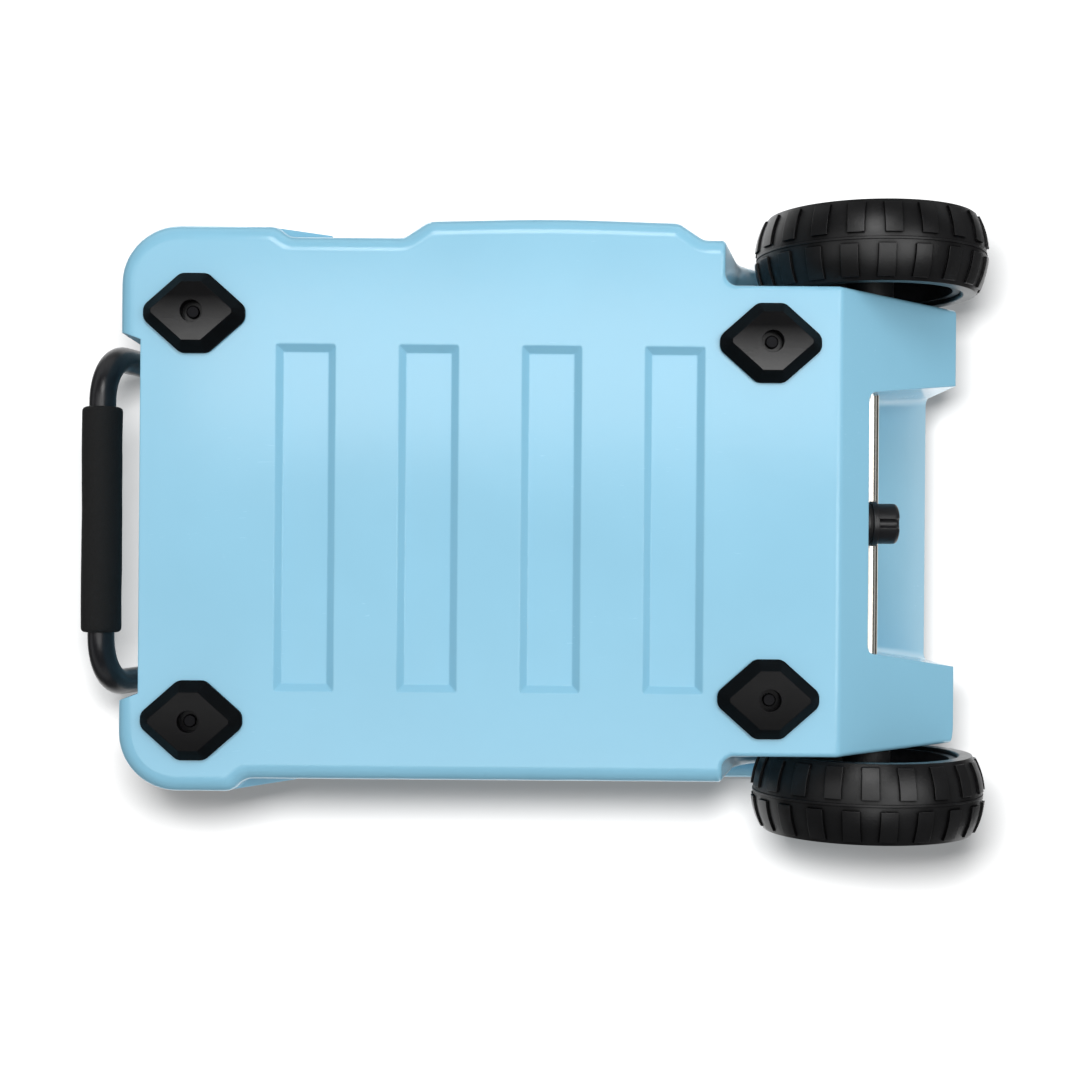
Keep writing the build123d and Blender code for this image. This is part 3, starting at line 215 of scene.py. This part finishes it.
class Tree:
    """The node tree of a material or a world, built one node at a time."""

    def __init__(self, owner):
        owner.use_nodes = True
        self.owner = owner
        self.nodes = owner.node_tree.nodes
        self.links = owner.node_tree.links
        self.nodes.clear()

    def node(self, kind, settings, sockets, output=0):
        """Add a node, set its settings, then give its sockets their values or links."""
        made = self.nodes.new(kind)
        for name, value in settings.items():
            if name == "stops":
                low, high = made.color_ramp.elements
                (low.position, low.color), (high.position, high.color) = value
            else:
                setattr(made, name, value)
        for name, value in sockets.items():
            if isinstance(value, Wire):
                self.links.new(value.socket, made.inputs[name])
            else:
                made.inputs[name].default_value = value
        return Wire(self, made.outputs[output]) if made.outputs else None

    def place(self):
        """Place on the piece, in metres."""
        return self.node("ShaderNodeTexCoord", {}, {}, "Object")

    def part(self, vector, axis):
        """One part of a vector: X, Y or Z."""
        return self.node("ShaderNodeSeparateXYZ", {}, {"Vector": vector}, axis)

    def stretched(self, place, scale):
        """Place with its features drawn out along the axes of a small scale."""
        return self.node("ShaderNodeMapping", {}, {"Vector": place, "Scale": scale})

    def grain(self, place, size, detail=2.0, distortion=0.0):
        """Soft noise, from 0 to 1, with features of about one size."""
        sockets = {"Vector": place, "Scale": 1 / size, "Detail": detail, "Distortion": distortion}
        return self.node("ShaderNodeTexNoise", {}, sockets)

    def ramp(self, value, low, high):
        """0 below the low value, 1 above the high one."""
        stops = ((low, (0, 0, 0, 1)), (high, (1, 1, 1, 1)))
        return self.node("ShaderNodeValToRGB", {"stops": stops}, {"Fac": value})

    def blend(self, share, first, second):
        """Colour between two colours, by the places of a mix node's colour sockets."""
        factor, colour_a, colour_b, result = 0, 6, 7, 2
        sockets = {factor: share, colour_a: first, colour_b: second}
        return self.node("ShaderNodeMix", {"data_type": "RGBA"}, sockets, result)

    def clouded(self, cloud, rgb, darkest, palest):
        """Colour that varies with the clouds, between two shares of itself."""
        return self.blend(cloud, shade(rgb, darkest), shade(rgb, palest))

    def true_normal(self):
        return self.node("ShaderNodeNewGeometry", {}, {}, "Normal")

    def rounded(self, radius):
        """Normal with its edges softened."""
        return self.node("ShaderNodeBevel", {"samples": SOFT_SAMPLES}, {"Radius": radius})

    def edges(self, rounded):
        """Share of edge at a point, from the softened normal."""
        dot = {"operation": "DOT_PRODUCT"}
        return 1 - self.node("ShaderNodeVectorMath", dot, {0: rounded, 1: self.true_normal()}, "Value")

    def rubbed_and_highlit(self, body, rounded, rgb, gain, most, palest):
        """Colour that gets paler along the edges, up to a share: rubbed wear, and on the shell also a
        painted edge highlight.
        """
        return self.blend((self.edges(rounded) * gain).lowest(most), body, shade(rgb, palest))

    def bump(self, height, distance, normal):
        """Normal with a relief, whose full height is a distance."""
        return self.node("ShaderNodeBump", {}, {"Height": height, "Distance": distance, "Normal": normal})

    def crevices(self, reach):
        """Share of shelter at a point, from the piece's own surfaces within reach."""
        settings = {"samples": SOFT_SAMPLES, "only_local": True}
        return 1 - self.node("ShaderNodeAmbientOcclusion", settings, {"Distance": reach}, "AO")

    def surface(self, painted_shade=None, **sockets):
        """Finish the material with one physical surface, of which a share may be painted shade, a black
        diffuse.
        """
        named = {name.replace("_", " "): value for name, value in sockets.items()}
        shader = self.node("ShaderNodeBsdfPrincipled", {}, named)
        # Painted shade: a black diffuse is mixed in by the given share
        if painted_shade is not None:
            black = self.node("ShaderNodeBsdfDiffuse", {}, {"Color": shade((0.0, 0.0, 0.0), 1.0)})
            shader = self.node("ShaderNodeMixShader", {}, {0: painted_shade, 1: shader, 2: black})
        self.node("ShaderNodeOutputMaterial", {}, {"Surface": shader})
        return self.owner


def shade(rgb, share):
    """A colour, lighter or darker, as a shader takes it."""
    return (*(min(1.0, part * share) for part in rgb), 1.0)


def finish(nodes, material):
    """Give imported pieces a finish."""
    for name in nodes:
        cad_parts[name].data.materials[0] = material


def moulded_shell(name, rgb, settings):
    """Glossy moulded plastic with a faint ripple, cloudy colour, hairline scuffs, and edges paled partly
    by wear and partly as painted highlight.
    """
    tree = Tree(bpy.data.materials.new(name))
    place = tree.place()
    rounded = tree.rounded(settings.edge)
    cloud = tree.grain(place, size=0.09, detail=3.0)
    ripple = tree.grain(place, size=settings.ripple, detail=1.0)
    pits = tree.grain(place, size=0.0012, detail=2.0)
    lengthwise = tree.stretched(place, scale=(0.12, 1.0, 1.0))
    scuffs = tree.grain(lengthwise, size=0.0016, detail=3.0, distortion=0.6)
    scuffed = tree.ramp(scuffs, low=0.66, high=0.76) * tree.ramp(cloud, low=0.45, high=0.62)
    body = tree.clouded(cloud, rgb, darkest=0.955, palest=1.045)
    relief = ripple * 0.55 + pits * 0.06 - scuffed * 0.05
    return tree.surface(
        # Paler edges: partly wear, partly a painted highlight along the moulded edges
        Base_Color=tree.rubbed_and_highlit(body, rounded, rgb, gain=2.2, most=0.35, palest=1.22),
        Roughness=0.12 + cloud * 0.08 + scuffed * 0.22,
        Specular_IOR_Level=0.5,
        Normal=tree.bump(relief, distance=0.00009, normal=rounded),
    )


def rubber_texture(tree, settings):
    """Softened normal, clouds, fine grain and moulding streaks of black rubber."""
    place = tree.place()
    rounded = tree.rounded(settings.edge * EDGE_SHARE["rubber"])
    cloud = tree.grain(place, size=0.018, detail=4.0)
    fine = tree.grain(place, size=0.0007, detail=2.0)
    streaks = tree.grain(tree.stretched(place, scale=(0.06, 1.0, 0.5)), size=0.0010, detail=3.0)
    return rounded, cloud, fine, streaks


def black_rubber(name, rgb, settings, roughness, streak, shine):
    """Satin black rubber with fine moulding streaks and pale rubbed edges."""
    tree = Tree(bpy.data.materials.new(name))
    rounded, cloud, fine, streaks = rubber_texture(tree, settings)
    body = tree.clouded(cloud, rgb, darkest=0.7, palest=1.4)
    return tree.surface(
        Base_Color=tree.rubbed_and_highlit(body, rounded, rgb, gain=3.0, most=0.5, palest=5.0),
        Roughness=roughness + cloud * 0.10 + streaks * 0.10 * streak,
        Specular_IOR_Level=shine,
        Normal=tree.bump(fine * 0.5 + streaks * streak, distance=0.00008, normal=rounded),
    )


def foot_rubber(name, rgb, settings, box, gloss):
    """Black rubber with a slightly crowned sole, which is rubbed glossy towards one tip."""
    low, high = box
    tree = Tree(bpy.data.materials.new(name))
    rounded, cloud, fine, streaks = rubber_texture(tree, settings)
    body = tree.clouded(cloud, rgb, darkest=0.4, palest=0.9)
    width = high.y - low.y
    across = tree.part(tree.place(), "Y") - (low.y + high.y) / 2
    crowned = tree.bump(0 - across * across * settings.crown, distance=1.0, normal=rounded)
    sole = tree.ramp(0 - tree.part(rounded, "Z"), low=0.88, high=0.98)
    share = tree.ramp(across * (1 / width) + 0.5, low=0.30, high=0.80)
    first_tip, second_tip = gloss
    worn = first_tip + share * (second_tip - first_tip)
    return tree.surface(
        Base_Color=tree.rubbed_and_highlit(body, rounded, rgb, gain=3.0, most=0.5, palest=4.0),
        Roughness=0.34 + cloud * 0.10 + streaks * 0.08,
        Specular_IOR_Level=0.03,
        Coat_Weight=sole * worn * (0.75 + streaks * 0.5),
        Coat_Roughness=0.22,
        Normal=tree.bump(fine * 0.5 + streaks * 0.8, distance=0.00008, normal=crowned),
    )


def tread_rubber(name, rgb, settings):
    """Tyre rubber with a fine grain and rubbed edges, and painted shade, a black diffuse share, in the
    crevices beside its lugs.
    """
    tree = Tree(bpy.data.materials.new(name))
    place = tree.place()
    rounded = tree.rounded(settings.edge * EDGE_SHARE["tread"])
    cloud = tree.grain(place, size=0.03, detail=4.0)
    fine = tree.grain(place, size=0.0009, detail=3.0)
    body = tree.clouded(cloud, rgb, darkest=0.7, palest=1.5)
    # Painted shade: black diffuse mixed into the crevices beside the lugs, by the piece's own occlusion
    crevice_shade = tree.ramp(tree.crevices(reach=0.005), low=0.06, high=0.40)
    return tree.surface(
        painted_shade=crevice_shade * 0.85,
        Base_Color=tree.rubbed_and_highlit(body, rounded, rgb, gain=2.0, most=0.5, palest=4.0),
        Roughness=0.22 + cloud * 0.14 + fine * 0.06,
        Specular_IOR_Level=0.36,
        Normal=tree.bump(fine, distance=0.00010, normal=rounded),
    )


def black_plastic(name, rgb, settings, roughness):
    """Black moulded plastic with a spark-eroded grain."""
    tree = Tree(bpy.data.materials.new(name))
    place = tree.place()
    rounded = tree.rounded(settings.edge * EDGE_SHARE["plastic"])
    cloud = tree.grain(place, size=0.02, detail=3.0)
    fine = tree.grain(place, size=0.0006, detail=2.0)
    return tree.surface(
        Base_Color=tree.clouded(cloud, rgb, darkest=0.8, palest=1.4),
        Roughness=roughness + cloud * 0.12,
        Specular_IOR_Level=0.45,
        Normal=tree.bump(fine, distance=0.00006, normal=rounded),
    )


def tube_paint(name, rgb, settings):
    """Gloss black paint on bent tube, with a slight orange peel."""
    tree = Tree(bpy.data.materials.new(name))
    place = tree.place()
    rounded = tree.rounded(settings.edge * EDGE_SHARE["tube"])
    cloud = tree.grain(place, size=0.03, detail=3.0)
    peel = tree.grain(place, size=0.0022, detail=1.0)
    return tree.surface(
        Base_Color=tree.clouded(cloud, rgb, darkest=0.8, palest=1.3),
        Roughness=0.24 + cloud * 0.12,
        Specular_IOR_Level=0.5,
        Normal=tree.bump(peel, distance=0.00006, normal=rounded),
    )


def turned_steel(name, rgb, settings, roughness, depth):
    """Steel with the fine rings of its turning and a faint tarnish."""
    tree = Tree(bpy.data.materials.new(name))
    place = tree.place()
    rounded = tree.rounded(settings.edge * EDGE_SHARE["steel"])
    rings = tree.grain(tree.stretched(place, scale=(0.05, 1.0, 0.05)), size=0.0005, detail=2.0)
    tarnish = tree.grain(place, size=0.012, detail=4.0)
    return tree.surface(
        Base_Color=tree.clouded(tarnish, rgb, darkest=0.86, palest=1.08),
        Metallic=1.0,
        Roughness=roughness + rings * 0.06 + tarnish * 0.06,
        Normal=tree.bump(rings, distance=depth, normal=rounded),
    )


def cell_foam(name, rgb, pore):
    """Matte closed-cell foam."""
    tree = Tree(bpy.data.materials.new(name))
    place = tree.place()
    cells = tree.node("ShaderNodeTexVoronoi", {}, {"Vector": place, "Scale": 1 / pore})
    fine = tree.grain(place, size=pore * 0.4, detail=2.0)
    cloud = tree.grain(place, size=0.02, detail=3.0)
    body = tree.clouded(cloud, rgb, darkest=0.75, palest=1.35)
    relief = cells * 0.7 + fine * 0.3
    return tree.surface(
        Base_Color=tree.blend(tree.ramp(cells, low=0.0, high=0.35), shade(rgb, 0.5), body),
        Roughness=0.72 + cloud * 0.14,
        Specular_IOR_Level=0.3,
        Normal=tree.bump(relief, distance=0.00025, normal=tree.true_normal()),
    )


def piece_from(name, mesh, material, body):
    """Make a finished mesh a smooth piece that rides on a body."""
    data = bpy.data.meshes.new(name)
    mesh.normal_update()
    mesh.to_mesh(data)
    mesh.free()
    data.shade_smooth()
    data.materials.append(material)
    piece = bpy.data.objects.new(name, data)
    bpy.context.scene.collection.objects.link(piece)
    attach(piece, body)
    return piece


def skin(mesh, loops):
    """Join closed loops of equal length into one band of faces after another."""
    rows = [[mesh.verts.new(point) for point in loop] for loop in loops]
    for lower, upper in zip(rows, rows[1:]):
        for start in range(len(lower)):
            end = (start + 1) % len(lower)
            mesh.faces.new((lower[start], lower[end], upper[end], upper[start]))


class COOLER_OT_shells(bpy.types.Operator):
    """Give the body, the lid and the liner their moulded plastic"""

    bl_idname = "cooler.shells"
    bl_label = "Moulded shells"

    def execute(self, context):
        settings = context.scene.cooler_finishes
        finish(("body_shell", "lid_shell"), moulded_shell("shell_plastic", settings.shell, settings))
        finish(("body_liner",), moulded_shell("liner_plastic", settings.liner, settings))
        foam = cell_foam("wall_foam", settings.insulation, context.scene.cooler_grip.pore)
        finish(("body_foam", "lid_foam"), foam)
        return {"FINISHED"}


class COOLER_OT_seals(bpy.types.Operator):
    """Give the gasket, the drain's seal and the two latches their rubber"""

    bl_idname = "cooler.seals"
    bl_label = "Seals and latches"

    def execute(self, context):
        settings = context.scene.cooler_finishes
        rgb = settings.rubber
        latch = black_rubber("latch_rubber", rgb, settings, roughness=0.50, streak=0.2, shine=0.4)
        finish(("latch_left", "latch_right"), latch)
        seal = black_rubber("seal_rubber", rgb, settings, roughness=0.6, streak=0.1, shine=0.4)
        finish(("lid_gasket", "drain_seal"), seal)
        return {"FINISHED"}


class COOLER_OT_mouldings(bpy.types.Operator):
    """Give the hubs, caps, brackets, latch mounts and drain their black plastic"""

    bl_idname = "cooler.mouldings"
    bl_label = "Black mouldings"

    def execute(self, context):
        settings = context.scene.cooler_finishes
        grained = black_plastic("grained_plastic", settings.plastic, settings, roughness=0.42)
        finish(("hub_front", "hub_back", "axle_caps"), grained)
        finish(("handle_bracket_front", "handle_bracket_back"), grained)
        finish(("latch_mount_left", "latch_mount_right"), grained)
        drain = black_plastic("drain_plastic", settings.plastic, settings, roughness=0.30)
        finish(("drain_plug", "drain_sleeve"), drain)
        return {"FINISHED"}


class COOLER_OT_tyres(bpy.types.Operator):
    """Give the two tyres their rubber"""

    bl_idname = "cooler.tyres"
    bl_label = "Tyres"

    def execute(self, context):
        settings = context.scene.cooler_finishes
        finish(("tyre_front", "tyre_back"), tread_rubber("tread_rubber", settings.tyre, settings))
        return {"FINISHED"}


class COOLER_OT_steelwork(bpy.types.Operator):
    """Give the axle, the screws, the bolts, the pins and the handle's tube their metal"""

    bl_idname = "cooler.steelwork"
    bl_label = "Steelwork"

    def execute(self, context):
        settings = context.scene.cooler_finishes
        axle = turned_steel("axle_steel", settings.steel, settings, roughness=0.12, depth=0.000001)
        finish(("axle",), axle)
        zinc = turned_steel("zinc_steel", settings.zinc, settings, roughness=0.30, depth=0.00001)
        finish(("axle_washers", "handle_bolts", "hinge_pins", "latch_pins"), zinc)
        finish(("bracket_screws", "latch_screws"), zinc)
        # Painted shade: the feet's screws are near black, standing in for the shade deep in their holes
        rgb = settings.screw_shade
        screw_shade = turned_steel("screw_shade_steel", rgb, settings, roughness=0.40, depth=0.00001)
        finish(("foot_screws",), screw_shade)
        finish(("tow_handle_tube",), tube_paint("tube_paint", settings.tube, settings))
        return {"FINISHED"}


class COOLER_OT_feet(bpy.types.Operator):
    """Give the four feet their rubber, with soles that are rubbed glossy"""

    bl_idname = "cooler.feet"
    bl_label = "Rubber feet"

    def execute(self, context):
        settings = context.scene.cooler_finishes
        for row, gloss in (("front", settings.front_gloss), ("back", settings.back_gloss)):
            for name in (f"foot_{row}_left", f"foot_{row}_right"):
                finish((name,), foot_rubber(name, settings.rubber, settings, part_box(name), gloss))
        return {"FINISHED"}


class COOLER_OT_grip(bpy.types.Operator):
    """Model the foam sleeve of the tow handle"""

    bl_idname = "cooler.grip"
    bl_label = "Foam grip"

    def execute(self, context):
        sizes = context.scene.cooler_grip
        low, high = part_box("tow_handle_grip")
        axis = (low + high) / 2
        radius = (high.z - low.z) / 2
        mesh = bmesh.new()
        profile = self.profile(low, high, radius, sizes)
        skin(mesh, [self.ring(axis, y, reach, radius, sizes) for y, reach in profile])
        foam = cell_foam("grip_foam", context.scene.cooler_finishes.foam, sizes.pore)
        piece = piece_from("foam_grip", mesh, foam, body="tow_handle")
        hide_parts("tow_handle_grip")
        return {"FINISHED"}

    def profile(self, low, high, radius, sizes, rings=64, steps=6):
        """Places and radii along the sleeve, with both ends rounded and drawn in to the tube."""
        tube = radius - (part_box("tow_handle_tube")[0].x - low.x)
        bend = sizes.end_round
        inside = [(bend, tube), (0.0, tube + bend / 2), (0.0, radius - bend)]
        for step in range(1, steps):
            angle = math.pi / 2 * step / steps
            inside.append((bend * (1 - math.cos(angle)), radius - bend * (1 - math.sin(angle))))
        start = [(low.y + along, r) for along, r in inside]
        end = [(high.y - along, r) for along, r in reversed(inside)]
        run = high.y - low.y - 2 * bend
        return start + [(low.y + bend + run * n / rings, radius) for n in range(rings + 1)] + end

    def ring(self, axis, y, reach, radius, sizes):
        """One loop around the sleeve, with the foam's swells where it is thick."""
        points = []
        for number in range(sizes.segments):
            angle = 2 * math.pi * number / sizes.segments
            out = Vector((math.cos(angle), 0, math.sin(angle)))
            swell = noise.noise((out * radius + Vector((0, y, 0))) / sizes.wave_size)
            grown = reach + sizes.wave * (swell - 1) * reach / radius
            points.append(Vector((axis.x, y, axis.z)) + out * grown)
        return points


class COOLER_OT_stage(bpy.types.Operator):
    """Set up the floor, the backdrop, the lamps and the camera below the cooler"""

    bl_idname = "cooler.stage"
    bl_label = "Studio"

    def execute(self, context):
        settings = context.scene.cooler_stage
        context.scene.view_settings.view_transform = "Standard"
        low, high = cad_box
        centre = (low + high) / 2
        self.surroundings(context.scene, settings)
        paper = self.one_sided_paper("floor_paper", settings.floor, glow=0.0, nearest=0.25)
        self.ground("floor", low.z, 1, settings.ground, paper)
        paper = self.one_sided_paper("backdrop_paper", settings.paper, glow=0.155, nearest=0.0)
        backdrop = self.ground("backdrop", high.z, -1, settings.backdrop, paper)
        self.lamps(context.scene, centre, backdrop)
        self.camera(context.scene, settings)
        return {"FINISHED"}

    def surroundings(self, scene, settings):
        """White for the camera, a room with bright parts for gloss, and an even light for the rest."""
        world = bpy.data.worlds.new("studio_light")
        scene.world = world
        tree = Tree(world)
        path = tree.node("ShaderNodeLightPath", {}, {}, "Is Camera Ray")
        mirrored = path.at("Is Glossy Ray").highest(path.at("Is Transmission Ray"))
        direction = tree.node("ShaderNodeTexCoord", {}, {})
        up = tree.part(direction, "Z")
        back = tree.part(direction, "Y")
        horizon = 1 - tree.ramp(up.highest(0 - up), low=0.05, high=0.30)
        window = horizon * tree.ramp(0 - back, low=0.45, high=0.80)
        behind = tree.ramp(back, low=0.02, high=0.14)
        ground = tree.ramp(0 - up, low=0.90, high=0.97) * (GROUND + behind * GROUND_BEHIND)
        ceiling = tree.ramp(up, low=0.55, high=0.90)
        room = WALLS + window * WINDOW + ground + ceiling * CEILING
        strength = path.highest(mirrored * room) + (1 - path.highest(mirrored)) * settings.ambient
        background = tree.node("ShaderNodeBackground", {}, {"Strength": strength})
        tree.node("ShaderNodeOutputWorld", {}, {"Surface": background})

    def one_sided_paper(self, name, rgb, glow, nearest):
        """Paper that shows from its front alone, to the camera and in reflections from far enough."""
        tree = Tree(bpy.data.materials.new(name))
        path = tree.node("ShaderNodeLightPath", {}, {}, "Is Camera Ray")
        mirrored = path.at("Is Glossy Ray").highest(path.at("Is Transmission Ray"))
        seen = path.highest(mirrored * (path.at("Ray Length") > nearest))
        behind = tree.node("ShaderNodeNewGeometry", {}, {}, "Backfacing")
        paper = tree.node("ShaderNodeBsdfDiffuse", {}, {"Color": shade(rgb, 1.0)})
        shine = tree.node("ShaderNodeEmission", {}, {"Strength": glow})
        lit = tree.node("ShaderNodeAddShader", {}, {0: paper, 1: shine})
        clear = tree.node("ShaderNodeBsdfTransparent", {}, {})
        shown = tree.node("ShaderNodeMixShader", {}, {0: seen * (1 - behind), 1: clear, 2: lit})
        tree.node("ShaderNodeOutputMaterial", {}, {"Surface": shown})
        return tree.owner

    def ground(self, name, level, facing, width, material):
        """A level sheet that faces up or down."""
        half = width / 2
        corners = [(-half, -half), (half, -half), (half, half), (-half, half)]
        mesh = bmesh.new()
        mesh.faces.new([mesh.verts.new((x, y * facing, level)) for x, y in corners])
        data = bpy.data.meshes.new(name)
        mesh.to_mesh(data)
        mesh.free()
        data.materials.append(material)
        sheet = bpy.data.objects.new(name, data)
        bpy.context.scene.collection.objects.link(sheet)
        return sheet

    def lamp(self, scene, name, centre, towards, distance, size, power, receivers, mirrored=True):
        """A soft lamp that points at the cooler and may show in its gloss."""
        data = bpy.data.lights.new(name, "AREA")
        data.shape = "RECTANGLE"
        data.size, data.size_y = size
        data.energy = power
        lamp = bpy.data.objects.new(name, data)
        lamp.location = centre + Vector(towards).normalized() * distance
        lamp.rotation_euler = Vector(towards).to_track_quat("Z", "Y").to_euler()
        lamp.visible_camera = False
        lamp.visible_glossy = mirrored
        lamp.light_linking.receiver_collection = receivers
        scene.collection.objects.link(lamp)

    def lamps(self, scene, centre, backdrop):
        """Soft lamps around the cooler, and a flash that throws its shadow on the backdrop alone."""
        only_backdrop = bpy.data.collections.new("only_backdrop")
        only_backdrop.objects.link(backdrop)
        not_backdrop = bpy.data.collections.new("all_but_backdrop")
        not_backdrop.objects.link(backdrop)
        not_backdrop.collection_objects[0].light_linking.link_state = "EXCLUDE"
        for name, settings in LAMPS.items():
            self.lamp(scene, name, centre, receivers=not_backdrop, **settings)
        flash = Vector(scene.cooler_stage.eye) + Vector(FLASH_SHIFT) - centre
        self.lamp(scene, "flash", centre, flash, flash.length, receivers=only_backdrop, **FLASH)

    def camera(self, scene, settings):
        """Camera below the cooler that looks straight up, with the latches at the top of the picture."""
        data = bpy.data.cameras.new("camera")
        data.lens = settings.lens
        data.shift_y = settings.rise
        camera = bpy.data.objects.new("camera", data)
        turn = Matrix.Rotation(math.pi, 4, "X") @ Matrix.Rotation(settings.roll, 4, "Z")
        camera.matrix_world = Matrix.Translation(settings.eye) @ turn
        scene.collection.objects.link(camera)
        scene.camera = camera


class COOLER_PT_sidebar(bpy.types.Panel):
    """Lists the cooler's operators and sizes"""

    bl_label = "Cooler on wheels"
    bl_idname = "COOLER_PT_sidebar"
    bl_space_type = "VIEW_3D"
    bl_region_type = "UI"
    bl_category = "Cooler"

    def draw(self, context):
        for operator in OPERATORS:
            self.layout.operator(operator.bl_idname)
        for name in GROUPS:
            group = getattr(context.scene, name)
            box = self.layout.box()
            for prop in group.__annotations__:
                box.prop(group, prop)


OPERATORS = (
    COOLER_OT_shells,
    COOLER_OT_seals,
    COOLER_OT_mouldings,
    COOLER_OT_tyres,
    COOLER_OT_steelwork,
    COOLER_OT_feet,
    COOLER_OT_grip,
    COOLER_OT_stage,
)
GROUPS = {
    "cooler_finishes": CoolerFinishes,
    "cooler_grip": CoolerGrip,
    "cooler_stage": CoolerStage,
}


def register():
    for name, group in GROUPS.items():
        bpy.utils.register_class(group)
        setattr(bpy.types.Scene, name, PointerProperty(type=group))
    for cls in (*OPERATORS, COOLER_PT_sidebar):
        bpy.utils.register_class(cls)


def unregister():
    for cls in reversed((*OPERATORS, COOLER_PT_sidebar)):
        bpy.utils.unregister_class(cls)
    for name, group in reversed(GROUPS.items()):
        delattr(bpy.types.Scene, name)
        bpy.utils.unregister_class(group)


def main():
    register()
    bpy.ops.cooler.shells()
    bpy.ops.cooler.seals()
    bpy.ops.cooler.mouldings()
    bpy.ops.cooler.tyres()
    bpy.ops.cooler.steelwork()
    bpy.ops.cooler.feet()
    bpy.ops.cooler.grip()
    bpy.ops.cooler.stage()


if __name__ == "__main__":
    main()
